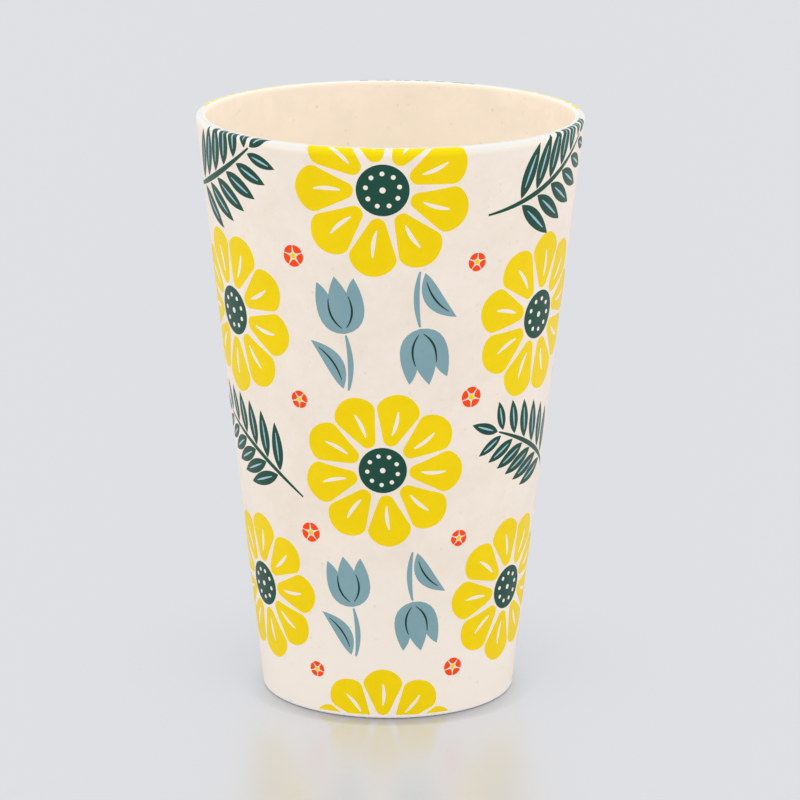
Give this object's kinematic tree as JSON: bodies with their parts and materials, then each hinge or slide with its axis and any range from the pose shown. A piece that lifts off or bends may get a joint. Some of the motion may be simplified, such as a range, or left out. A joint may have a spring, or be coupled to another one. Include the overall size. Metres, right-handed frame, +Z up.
{
  "type": "reusable drinking cup",
  "caption": "Tapered open drinking cup moulded from bamboo fibre and resin, with a lip rounded at its edges, a hollow foot and a printed foil pressed flush into its outer wall.",
  "frame": {"origin": "middle of the foot ring, on the surface that the cup stands on", "axes": "+Z up along the cup's axis to the mouth, +Y to the back where the foil's seam is"},
  "size_m": [0.0898, 0.0898, 0.1372],
  "materials": {
    "bamboo_fibre": "satin cream with fine fibre flecks",
    "printed_foil": "satin cream ground with printed colours"
  },
  "bodies": {
    "root": {"cup_body": "bamboo_fibre", "print_foil": "printed_foil"}
  },
  "joints": []
}
